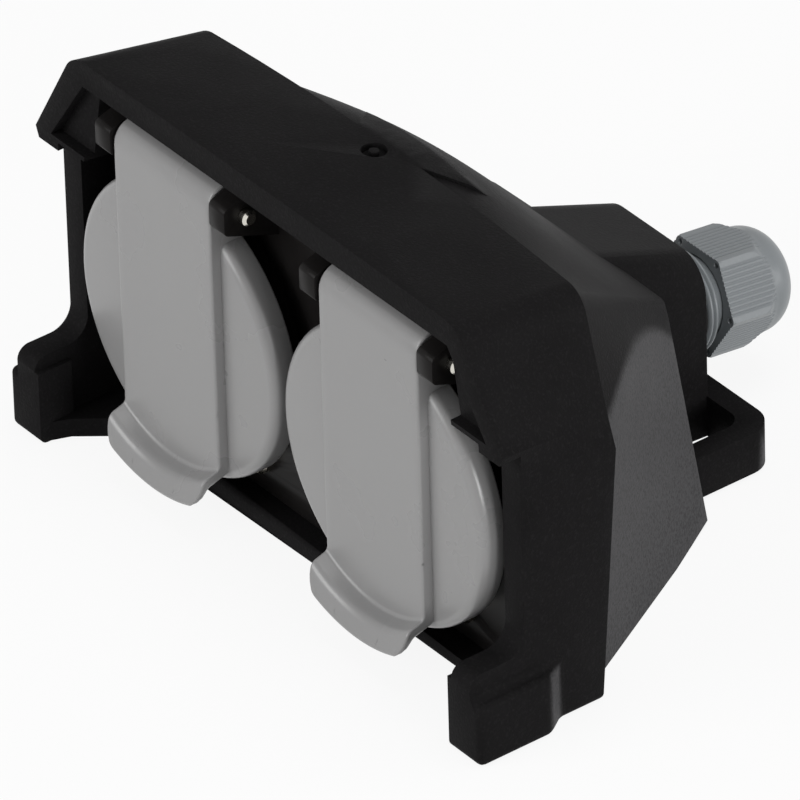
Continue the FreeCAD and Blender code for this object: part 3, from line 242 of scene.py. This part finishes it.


# Finishes: colours, scales per metre of the pits (fine) and clouds, strengths of tone, specks and gloss spread,
# bump with its depth in metres, the colour, share and patch scale of the handling marks, and the hood's painted
# sheen colour
finishLooks = {
    "hoodRubber": {"base": (0.0092, 0.0088, 0.0091), "roughness": 0.46, "specular": 0.012, "fine": 1900.0,
                   "cloud": 70.0, "tone": 0.5, "specks": 0.6, "spread": 0.12, "bump": 0.5, "depth": 0.00016,
                   "worn": (0.03, 0.0295, 0.0295), "wear": 0.3, "patches": 30.0,
                   # painted sheen: a paler grey painted on the rear flanks where light grazes them
                   "paintedSheen": (0.064, 0.063, 0.065)},
    "insertPlastic": {"base": (0.0105, 0.0096, 0.0094), "roughness": 0.3, "specular": 0.05, "fine": 900.0,
                      "cloud": 90.0, "tone": 0.3, "specks": 0.2, "spread": 0.08, "bump": 0.06, "depth": 0.00006,
                      "worn": (0.03, 0.03, 0.03), "wear": 0.2, "patches": 60.0},
    "sealRubber": {"base": (0.01, 0.01, 0.01), "roughness": 0.7, "specular": 0.1, "fine": 1400.0,
                   "cloud": 80.0, "tone": 0.3, "specks": 0.4, "spread": 0.1, "bump": 0.2, "depth": 0.00008,
                   "worn": (0.05, 0.05, 0.05), "wear": 0.3, "patches": 60.0},
    "lidPlastic": {"base": (0.236, 0.234, 0.234), "roughness": 0.28, "specular": 0.5, "fine": 2400.0,
                   "cloud": 45.0, "tone": 0.07, "specks": 0.03, "spread": 0.08, "bump": 0.1, "depth": 0.00004,
                   "worn": (0.3, 0.297, 0.295), "wear": 0.05, "patches": 45.0},
    "glandPlastic": {"base": (0.172, 0.186, 0.195), "roughness": 0.36, "specular": 0.5, "fine": 2000.0,
                     "cloud": 90.0, "tone": 0.1, "specks": 0.05, "spread": 0.08, "bump": 0.12, "depth": 0.00005,
                     "worn": (0.26, 0.275, 0.285), "wear": 0.3, "patches": 70.0},
    "clawPlastic": {"base": (0.6, 0.6, 0.58), "roughness": 0.5, "specular": 0.45, "fine": 1800.0,
                    "cloud": 90.0, "tone": 0.06, "specks": 0.03, "spread": 0.06, "bump": 0.1, "depth": 0.00005,
                    "worn": (0.7, 0.7, 0.68), "wear": 0.2, "patches": 70.0},
    "screwSteel": {"base": (0.62, 0.58, 0.50), "roughness": 0.26, "metallic": 1.0, "fine": 2600.0,
                   "cloud": 300.0, "tone": 0.2, "specks": 0.1, "spread": 0.15, "bump": 0.1, "depth": 0.00003,
                   "worn": (0.8, 0.78, 0.74), "wear": 0.5, "patches": 200.0},
    "pinSteel": {"base": (0.66, 0.64, 0.58), "roughness": 0.22, "metallic": 1.0, "fine": 2600.0,
                 "cloud": 300.0, "tone": 0.15, "specks": 0.1, "spread": 0.12, "bump": 0.1, "depth": 0.00003,
                 "worn": (0.85, 0.83, 0.8), "wear": 0.5, "patches": 200.0},
    "contactBrass": {"base": (0.74, 0.56, 0.28), "roughness": 0.32, "metallic": 1.0, "fine": 2400.0,
                     "cloud": 200.0, "tone": 0.2, "specks": 0.1, "spread": 0.12, "bump": 0.08, "depth": 0.00003,
                     "worn": (0.85, 0.68, 0.4), "wear": 0.4, "patches": 200.0},
}
finishes = {name: mouldedFinish(name, look) for name, look in finishLooks.items()}
finishOfSlot = {"hood_rubber": "hoodRubber", "insert_plastic": "insertPlastic", "seal_rubber": "sealRubber",
                "lid_plastic": "lidPlastic", "gland_plastic": "glandPlastic", "claw_plastic": "clawPlastic",
                "screw_steel": "screwSteel", "pin_steel": "pinSteel", "spring_steel": "pinSteel",
                "contact_brass": "contactBrass", "terminal_brass": "contactBrass"}
for part in frame["record"]["subparts"]:
    solid = nodes[part["node"]]
    solid.data.materials.clear()
    solid.data.materials.append(finishes[finishOfSlot[part["material_slot"]]])
print("finishes:", len(finishes))


# A mesh object from grids of points, each with its flags, all in one piece. The flags wrapRows and wrapColumns
# join the last row or column to the first, and cap closes the first and last columns.
def gridPiece(name, grids, finish, body, sharpAngle=40.0):
    points, faces, start = [], [], 0
    for grid, flags in grids:
        rows, columns = grid.shape[:2]
        index = np.arange(rows * columns).reshape(rows, columns) + start
        if flags.get("cap"):
            faces.append(index[::-1, 0].tolist())
            faces.append(index[:, -1].tolist())
        if flags.get("wrapRows"):
            index = np.vstack([index, index[:1]])
        if flags.get("wrapColumns"):
            index = np.hstack([index, index[:, :1]])
        quads = np.stack([index[:-1, :-1], index[1:, :-1], index[1:, 1:], index[:-1, 1:]], -1).reshape(-1, 4)
        faces.extend(quads.tolist())
        points.append(grid.reshape(-1, 3))
        start += rows * columns
    mesh = bpy.data.meshes.new(name)
    mesh.from_pydata(np.concatenate(points).tolist(), [], faces)
    mesh.shade_smooth()
    mesh.set_sharp_from_angle(angle=math.radians(sharpAngle))
    mesh.materials.append(finishes[finish])
    piece = bpy.data.objects.new(name, mesh)
    bpy.context.scene.collection.objects.link(piece)
    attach(piece, body)
    return piece


# An outline through corners (a, b, radius), each corner rounded by an arc that touches both its sides.
# centre = corner + (u + v) / |u + v| * radius / sin(h), u and v the ways to the neighbours, h half their angle
def roundedOutline(corners, closed=True, steps=7):
    corners = np.array(corners, float)
    places, radii = corners[:, :2], corners[:, 2]
    outline = []
    for i, (here, radius) in enumerate(zip(places, radii)):
        ends = not closed and i in (0, len(places) - 1)
        if radius <= 0 or ends:
            outline.append(here[None])
            continue
        u = places[i - 1] - here
        v = places[(i + 1) % len(places)] - here
        u, v = u / np.linalg.norm(u), v / np.linalg.norm(v)
        halfAngle = math.acos(np.clip(u @ v, -1, 1)) / 2
        centre = here + (u + v) / np.linalg.norm(u + v) * radius / math.sin(halfAngle)
        first = here + u * radius / math.tan(halfAngle) - centre
        last = here + v * radius / math.tan(halfAngle) - centre
        t = np.linspace(0, 1, steps)[:, None]
        spread = math.pi - 2 * halfAngle
        arc = (np.sin((1 - t) * spread) * first + np.sin(t * spread) * last) / math.sin(spread)
        outline.append(centre + arc)
    return np.concatenate(outline)


# More points along a closed outline: each side divided into ceil(length / step) equal parts.
def divided(outline, step):
    after = np.roll(outline, -1, 0)
    counts = np.maximum(np.ceil(np.linalg.norm(after - outline, axis=1) / step).astype(int), 1)
    return np.concatenate([a + (b - a) * np.arange(n)[:, None] / n for a, b, n in zip(outline, after, counts)])


# Lid: a turned disc and a band that folds over the hinge above and curls out into a tab below. The disc is hollow
# within a stiffening rim, which has a groove for the seal. The curl's corners are (back, low, radius).
lid = {"pitchHalf": 28.3, "height": 35.0, "radius": 27.5, "round": 1.9, "rimBack": 5.0, "grooveOuter": 24.4,
       "grooveInner": 20.6, "grooveFloor": 4.4, "hollow": 18.5, "face": 2.0, "segments": 160,
       "bandHalf": 13.35, "edge": 0.5, "hingeDepth": 2.0, "hingeUp": 31.8, "knuckle": 4.0, "arcSlack": 0.05,
       "shoulderLow": 3.2, "shoulderHigh": 2.9, "springHalf": 6.0, "springRoom": 3.3, "crease": 24.6,
       "curl": ((-5.4, 25.5, 1.9), (-6.85, 29.9, 0.75), (-5.3, 29.9, 0.6), (-4.2, 27.2, 1.2), (-1.2, 26.4, 1.2)),
       "lipCorner": 3.6, "lipStart": 26.3, "bandBack": 1.2, "bandLow": 25.6, "bandHigh": -11.5,
       "bendStart": 8.0, "bendLength": 14.0, "step": 1.2}


# The half width of the band at a distance below the disc's centre: full, then round at the lip's corners.
def bandWidth(low):
    into = np.clip(low - lid["lipStart"], 0, lid["lipCorner"])
    return lid["bandHalf"] - lid["lipCorner"] + np.sqrt(lid["lipCorner"] ** 2 - into ** 2)


# A stretch of the band between two places across: the outline (back, low) repeated at each place, drawn in by
# the inset along its own normal. Heights bend into arcs about the disc's centre towards the tab:
# t = (low - bendStart) / bendLength held within 0 and 1, w = t^2 (3 - 2 t)
# up = -(low * (1 - w) + w * sqrt(low^2 - across^2))
def bandStretch(centre, outline, shares, insets):
    ahead = np.roll(outline, -1, 0) - np.roll(outline, 1, 0)
    normal = np.stack([ahead[:, 1], -ahead[:, 0]], -1) / np.linalg.norm(ahead, axis=1)[:, None]
    area = np.sum(outline[:, 0] * np.roll(outline[:, 1], -1) - outline[:, 1] * np.roll(outline[:, 0], -1))
    inward = -normal * np.sign(area)
    place = outline[:, None] + inward[:, None] * insets[None, :, None]
    back, low = place[..., 0], place[..., 1]
    across = shares[None] * bandWidth(outline[:, 1])[:, None] / lid["bandHalf"]
    t = np.clip((low - lid["bendStart"]) / lid["bendLength"], 0, 1)
    w = t * t * (3 - 2 * t)
    arc = np.sqrt(np.maximum(low ** 2 - across ** 2, 1))
    up = -(low * (1 - w) + w * arc)
    return toFrame(centre + across, back, lid["height"] + up)


# Disc: across = centre + radius * cos(angle), up = height + radius * sin(angle), back along its profile.
# Band: its outline (back, low) runs over the knuckle, down the front and round the curl. Beside the spring the
# knuckle is solid, and over the spring it is cut out by the spring's room. The sides are rounded:
# across = bandHalf - edge * (1 - sin(turn)), inset = edge * (1 - cos(turn)), turn from 0 to a quarter
def buildLid(name, centre):
    rim, floor, hollow, face = lid["rimBack"], lid["grooveFloor"], lid["hollow"], lid["face"]
    profile = roundedOutline([(0, 0, 0), (0, lid["radius"], lid["round"]), (rim, lid["radius"], 0.5),
                              (rim, lid["grooveOuter"], 0.2), (floor, lid["grooveOuter"], 0),
                              (floor, lid["grooveInner"], 0), (rim, lid["grooveInner"], 0.2),
                              (rim, hollow, 0.3), (face, hollow, 0.5), (face, 0, 0)], closed=False)
    angle = np.linspace(0, 2 * np.pi, lid["segments"], endpoint=False)[None]
    along, radius = profile[:, :1], profile[:, 1:]
    disc = toFrame(centre + radius * np.cos(angle), along, lid["height"] + radius * np.sin(angle))
    up, depth, knuckle, cut = lid["hingeUp"], lid["hingeDepth"], lid["knuckle"], lid["springRoom"]
    front, rear, top = depth - knuckle, depth + knuckle, -up - knuckle
    bend, cutBend = knuckle - lid["arcSlack"], cut - lid["arcSlack"]
    tab = [(front, lid["crease"], 0.8), *lid["curl"], (lid["bandBack"], lid["bandLow"], 0),
           (lid["bandBack"], lid["bandHigh"], 0), (rim, lid["bandHigh"], 0)]
    plain = [(rim, -up + lid["shoulderLow"], 0.9), (rear, -up + lid["shoulderHigh"], 0.5), (rear, top, bend),
             (front, top, bend)]
    cutOut = [(rim, -up + cut, 0.2), (depth, -up + cut, 0), (depth - cut, -up + cut, cutBend),
              (depth - cut, -up - cut, cutBend), (depth, -up - cut, 0), (depth, top, 0.2), (front, top, bend)]
    edge, reach, room = lid["edge"], lid["bandHalf"], lid["springHalf"]
    turn = np.linspace(0, np.pi / 2, 6)
    outer = np.concatenate([np.linspace(room, reach - edge, 6)[:-1], reach - edge + edge * np.sin(turn)])
    inset = np.concatenate([np.zeros(5), edge * (1 - np.cos(turn))])
    solid = divided(roundedOutline(plain + tab), lid["step"])
    shell = divided(roundedOutline(cutOut + tab), lid["step"])
    grids = [(disc, {"wrapColumns": True})]
    for outline, across, drawnIn in ((solid, outer, inset), (solid, -outer[::-1], inset[::-1]),
                                     (shell, np.linspace(-room, room, 9), np.zeros(9))):
        grids.append((bandStretch(centre, outline, across, drawnIn), {"wrapRows": True, "cap": True}))
    piece = gridPiece(name + "LidShell", grids, "lidPlastic", name + "_cover")
    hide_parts(name + "_lid")


for name, side in (("left", -1), ("right", 1)):
    buildLid(name, side * lid["pitchHalf"])
print("lids dressed")

# Dome nut: a hexagon whose corners are turned away towards the dome, finely grooved on its flats, with a round
# pit in the face of each corner. cornerStops and cornerRadii are the turned profile before the dome. Stretches
# of rings are (from, to, number), closer where the corners turn away.
nut = {"seatDepth": 81.4, "seatHeight": 18.928, "tilt": 7.0, "start": 7.4, "flat": 9.5, "length": 16.6,
       "cornerStops": (0.0, 0.35, 7.6, 8.6, 9.8, 11.0), "cornerRadii": (10.8, 10.97, 10.97, 10.6, 9.75, 9.5),
       "dome": 5.6, "bore": 7.9, "boreEnd": 8.6, "mouth": 5.3, "mouthStart": 14.1, "segments": 660,
       "ringStretches": ((0.35, 0.7, 2), (1.6, 7.6, 8), (8.0, 9.8, 8)), "lastStretch": 10.0,
       "groovePitch": 0.9, "grooveHalf": 4.5, "grooveDepth": 0.2, "grooveEnd": 10.3, "endFade": 0.3,
       "sideFade": 0.1, "pitRadius": 0.5, "pitPlace": 9.75, "pitDepth": 0.9, "pitWall": 0.12}


# Radius over angle and distance along: the smaller of the hexagon flat / cos(within), with within the angle from
# the middle of its flat, and the turned profile, which the dome lowers by dome - sqrt(dome^2 - into^2).
# Grooves: depth * ((1 + cos(2 pi (side / pitch + 1/2))) / 2)^2 where side = flat * tan(within) is small.
def nutRadius(angle, along):
    within = np.mod(angle, np.pi / 3) - np.pi / 6
    hexagon = nut["flat"] / np.cos(within)
    turnedAway = np.interp(along, nut["cornerStops"], nut["cornerRadii"])
    domeStart = nut["length"] - nut["dome"]
    into = np.clip(along - domeStart, 0, nut["dome"])
    turnedAway = turnedAway - nut["dome"] + np.sqrt(np.maximum(nut["dome"] ** 2 - into ** 2, 0))
    side = nut["flat"] * np.tan(within)
    wave = ((1 + np.cos(2 * np.pi * (side / nut["groovePitch"] + 0.5))) / 2) ** 2
    lengthways = np.clip((nut["grooveEnd"] - along) / nut["endFade"], 0, 1)
    sideways = np.clip((nut["grooveHalf"] - np.abs(side)) / nut["sideFade"], 0, 1)
    return np.minimum(hexagon, turnedAway) - nut["grooveDepth"] * wave * lengthways * sideways


# A ring of points about the gland's tilted axis, at distances along it and from it.
# back = seat + along * cos(tilt) + rise * sin(tilt), up = seat - along * sin(tilt) + rise * cos(tilt)
def aboutGland(along, radius, angle):
    tilt = math.radians(nut["tilt"])
    rise = radius * np.sin(angle)
    back = nut["seatDepth"] + along * math.cos(tilt) + rise * math.sin(tilt)
    up = nut["seatHeight"] - along * math.sin(tilt) + rise * math.cos(tilt)
    return toFrame(radius * np.cos(angle), back, up)


# Plain rings at pairs (along, radius), the same all round.
def plainRings(pairs, segments):
    return np.repeat(np.array(pairs)[..., None], segments, axis=2)


# Rings run from the bore over the face, the outside and the dome into the mouth. On the face:
# pit = depth * (pitRadius - distance from the pit's centre) / wall, held within 0 and the depth.
# On the dome: along = domeStart + dome * sin(turn), until its radius flat - dome + dome * cos(turn) is the mouth's.
def buildNut():
    bore, dome, mouth, segments = nut["bore"], nut["dome"], nut["mouth"], nut["segments"]
    angle = np.linspace(0, 2 * np.pi, segments, endpoint=False)[None]
    share = np.linspace(0, 1, 18)[1:, None]
    face = bore + share * (nutRadius(angle, np.zeros((1, 1))) - bore)
    corner = np.mod(angle + np.pi / 6, np.pi / 3) - np.pi / 6
    away = np.hypot(face * np.cos(corner) - nut["pitPlace"], face * np.sin(corner))
    pit = nut["pitDepth"] * np.clip((nut["pitRadius"] - away) / nut["pitWall"], 0, 1)
    domeStart = nut["length"] - dome
    turn = np.linspace(0, math.acos((mouth - nut["flat"] + dome) / dome), 16)[1:]
    outside = [np.linspace(*stretch) for stretch in (*nut["ringStretches"], (nut["lastStretch"], domeStart, 6))]
    outside = np.concatenate([*outside, domeStart + dome * np.sin(turn)])[:, None]
    rings = [plainRings([(nut["boreEnd"], bore), (0.0, bore)], segments), np.stack([pit, face], 1),
             np.stack(np.broadcast_arrays(outside, nutRadius(angle, outside)), 1),
             plainRings([(nut["mouthStart"], mouth), (nut["boreEnd"], bore)], segments)]
    along, radius = np.moveaxis(np.concatenate(rings), 1, 0)
    grid = aboutGland(along + nut["start"], radius, angle)
    piece = gridPiece("ribbedNut", [(grid, {"wrapColumns": True})], "glandPlastic", "gland_nut",
                      sharpAngle=50.0)
    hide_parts("dome_nut")


buildNut()

# Gland body: a bored stem with a collar of two rounded rings
stem = {"bore": 5.6, "threadEnd": -10.0, "thread": 7.9, "collarStart": 2.8, "groove": 8.7, "ringStart": 3.4,
        "ringEnd": 5.5, "ring": 9.5, "ringDip": 0.5, "stub": 7.55, "stubEnd": 12.5, "segments": 96}


# Rings: radius = ring - dip * (1 - |sin(2 pi share)|), share running from 0 to 1 along the collar.
def buildGlandBody():
    share = np.linspace(0, 1, 25)
    rings = stem["ring"] - stem["ringDip"] * (1 - np.abs(np.sin(2 * np.pi * share)))
    collar = np.stack([stem["ringStart"] + share * (stem["ringEnd"] - stem["ringStart"]), rings], -1)
    before = [(stem["threadEnd"], stem["bore"]), (stem["threadEnd"], stem["thread"]),
              (stem["collarStart"], stem["thread"]), (stem["collarStart"], stem["groove"]),
              (stem["ringStart"], stem["groove"])]
    after = [(stem["ringEnd"], stem["stub"]), (stem["stubEnd"], stem["stub"]), (stem["stubEnd"], stem["bore"])]
    profile = np.concatenate([before, collar, after])
    angle = np.linspace(0, 2 * np.pi, stem["segments"], endpoint=False)[None]
    grid = aboutGland(profile[:, :1], profile[:, 1:], angle)
    piece = gridPiece("ringedStem", [(grid, {"wrapColumns": True, "wrapRows": True})], "glandPlastic", "shell")
    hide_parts("gland_body")


buildGlandBody()
print("nut and gland dressed")


# A corner where few edges meet, well apart and each longer than the room that a round needs.
# The rule (most edges, least length, most cosine between neighbours) is the lower one up to lowTop.
def isPlainCorner(corner, look):
    meeting, room, apart = look["upper"] if corner.co.z > look["lowTop"] else look["lower"]
    if len(corner.link_edges) > meeting or min(edge.calc_length() for edge in corner.link_edges) < room:
        return False
    ways = [(edge.other_vert(corner).co - corner.co).normalized() for edge in corner.link_edges]
    return max(abs(ways[i].dot(ways[i - 1])) for i in range(len(ways))) < apart


# A copy of a solid with its triangles merged into flat faces and its edges rounded, in the solid's place.
# Edges between plain corners get a wide round, and the others a narrow one.
def softenedCopy(node, name, body, finish, look):
    mesh = nodes[node].data.copy()
    mesh.name = name
    work = bmesh.new()
    work.from_mesh(mesh)
    bmesh.ops.remove_doubles(work, verts=work.verts, dist=look["merge"])
    bmesh.ops.dissolve_limit(work, angle_limit=math.radians(look["flat"]), verts=work.verts, edges=work.edges)
    weight = work.edges.layers.float.new("bevel_weight_edge")
    for edge in work.edges:
        edge[weight] = float(len(edge.link_faces) == 2 and edge.calc_face_angle(0.0) > math.radians(look["angle"])
                             and all(isPlainCorner(corner, look) for corner in edge.verts))
    work.to_mesh(mesh)
    work.free()
    if mesh.has_custom_normals:
        mesh.normals_split_custom_set([(0, 0, 0)] * len(mesh.loops))
    mesh.materials.clear()
    mesh.materials.append(finishes[finish])
    mesh.shade_smooth()
    piece = bpy.data.objects.new(name, mesh)
    bpy.context.scene.collection.objects.link(piece)
    rounded = piece.modifiers.new("round", "BEVEL")
    rounded.width = look["round"]
    rounded.segments = look["roundSegments"]
    rounded.limit_method = "WEIGHT"
    rounded.use_clamp_overlap = False
    bevel = piece.modifiers.new("soften", "BEVEL")
    bevel.width = look["width"]
    bevel.segments = look["segments"]
    bevel.limit_method = "ANGLE"
    bevel.angle_limit = math.radians(look["angle"])
    bevel.harden_normals = True
    bevel.use_clamp_overlap = True
    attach(piece, body)
    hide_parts(node)


# Housing: wide rounds on its feet and loop, where the corner rule is looser, and on the longer edges above them
softHousing = {"merge": 0.000004, "flat": 0.6, "angle": 28.0, "round": 0.0013, "roundSegments": 4,
               "width": 0.0006, "segments": 3, "lowTop": 0.022, "lower": (4, 0.0016, 0.93),
               "upper": (3, 0.0028, 0.82)}
softenedCopy("housing", "softHousing", "shell", "hoodRubber", softHousing)

# Insert: a crisper moulding, with one rule for all its corners
softInsert = {"merge": 0.000004, "flat": 0.6, "angle": 28.0, "round": 0.0004, "roundSegments": 4,
              "width": 0.0003, "segments": 2, "lowTop": 0.022, "lower": (3, 0.001, 0.82),
              "upper": (3, 0.001, 0.82)}
softenedCopy("socket_insert", "softInsert", "shell", "insertPlastic", softInsert)
print("housing and insert softened")

# Camera: fitted to the photograph as azimuth, elevation, roll, pixels per metre and distance
viewFit = {"azimuth": 53.92, "elevation": 34.61, "roll": 2.05, "pixelsPerMetre": 5974.9, "distance": 2.439,
           "aimPixel": (278.12, 403.28), "aimPoint": (0.0, -0.0484, 0.035), "imageSize": 800, "sensor": 36.0,
           "clipEnd": 50.0}


# forward = (-sin(a) cos(e), cos(a) cos(e), -sin(e)), and right and top are rolled about it by r.
# The lens looks through the picture's middle: aim = forward + right * du / focal - top * dv / focal, where du and
# dv are the pixels from the fitted point to the middle and focal = pixelsPerMetre * distance.
def placeCamera(fit):
    a, e, r = (math.radians(fit[key]) for key in ("azimuth", "elevation", "roll"))
    across = Vector((math.cos(a), math.sin(a), 0))
    forward = Vector((-math.sin(a) * math.cos(e), math.cos(a) * math.cos(e), -math.sin(e)))
    upward = across.cross(forward)
    right = across * math.cos(r) - upward * math.sin(r)
    top = across * math.sin(r) + upward * math.cos(r)
    focal = fit["pixelsPerMetre"] * fit["distance"]
    middle = fit["imageSize"] / 2
    du, dv = middle - fit["aimPixel"][0], middle - fit["aimPixel"][1]
    aim = (forward + right * (du / focal) - top * (dv / focal)).normalized()
    side = (right - aim * right.dot(aim)).normalized()
    rise = side.cross(aim)
    eye = Vector(fit["aimPoint"]) - forward * fit["distance"]
    data = bpy.data.cameras.new("studioCamera")
    data.sensor_width = fit["sensor"]
    data.lens = focal / fit["imageSize"] * fit["sensor"]
    data.clip_end = fit["clipEnd"]
    camera = bpy.data.objects.new("studioCamera", data)
    bpy.context.scene.collection.objects.link(camera)
    turn = Matrix((side, rise, -aim)).transposed().to_4x4()
    camera.matrix_world = Matrix.Translation(eye) @ turn
    bpy.context.scene.camera = camera


placeCamera(viewFit)

# Studio: pale floor, surround that is white to the camera and in reflections but lights softly, area lamps
studio = {"floorHalf": 6.0, "floorTone": 0.8, "floorGlow": 0.9, "ambient": 0.3, "lampAim": (0.0, 0.0, 0.03),
          "lamps": {"key": {"from": (-0.5, -1.9, 0.9), "size": 1.3, "watts": 27.0},
                    "rear": {"from": (1.3, 1.35, 0.3), "size": 0.8, "watts": 7.0},
                    "side": {"from": (1.9, -0.1, 0.25), "size": 0.8, "watts": 20.0},
                    "top": {"from": (0.2, 0.3, 2.0), "size": 1.0, "watts": 14.0}}}


# One where a camera, mirror or glass ray arrives, otherwise nought.
def seenDirectly(tree):
    ray = addNode(tree, "ShaderNodeLightPath")
    seen = addMath(tree, "MAXIMUM", ray.outputs["Is Camera Ray"], ray.outputs["Is Transmission Ray"])
    return addMath(tree, "MAXIMUM", seen, ray.outputs["Is Glossy Ray"])


# Surround strength = ambient + (1 - ambient) * seen, floor = paper * (1 - glow * seen) + white * glow * seen
def buildStudio(look):
    world = bpy.data.worlds.new("studioWorld")
    bpy.context.scene.world = world
    world.use_nodes = True
    tree = world.node_tree
    surround = tree.nodes["Background"]
    surround.inputs["Color"].default_value = (1, 1, 1, 1)
    strength = addMath(tree, "MULTIPLY_ADD", seenDirectly(tree), 1 - look["ambient"], look["ambient"])
    tree.links.new(strength, surround.inputs["Strength"])
    half = look["floorHalf"]
    mesh = bpy.data.meshes.new("studioFloor")
    mesh.from_pydata([(-half, -half, 0), (half, -half, 0), (half, half, 0), (-half, half, 0)], [], [(0, 1, 2, 3)])
    floor = bpy.data.objects.new("studioFloor", mesh)
    bpy.context.scene.collection.objects.link(floor)
    paper = bpy.data.materials.new("studioPaper")
    paper.use_nodes = True
    tree = paper.node_tree
    tree.nodes.clear()
    leave = addNode(tree, "ShaderNodeOutputMaterial")
    matt = addNode(tree, "ShaderNodeBsdfDiffuse", Color=(look["floorTone"],) * 3 + (1,))
    glow = addNode(tree, "ShaderNodeEmission", Strength=1.0)
    mix = addNode(tree, "ShaderNodeMixShader")
    tree.links.new(addMath(tree, "MULTIPLY", seenDirectly(tree), look["floorGlow"]), mix.inputs[0])
    tree.links.new(matt.outputs[0], mix.inputs[1])
    tree.links.new(glow.outputs[0], mix.inputs[2])
    tree.links.new(mix.outputs[0], leave.inputs["Surface"])
    mesh.materials.append(paper)
    for name, lamp in look["lamps"].items():
        data = bpy.data.lights.new(name + "Lamp", "AREA")
        data.energy = lamp["watts"]
        data.size = lamp["size"]
        item = bpy.data.objects.new(name + "Lamp", data)
        bpy.context.scene.collection.objects.link(item)
        item.location = lamp["from"]
        item.rotation_euler = (Vector(look["lampAim"]) - item.location).to_track_quat("-Z", "Y").to_euler()


buildStudio(studio)
bpy.context.scene.view_settings.view_transform = "Standard"

print("finishing")
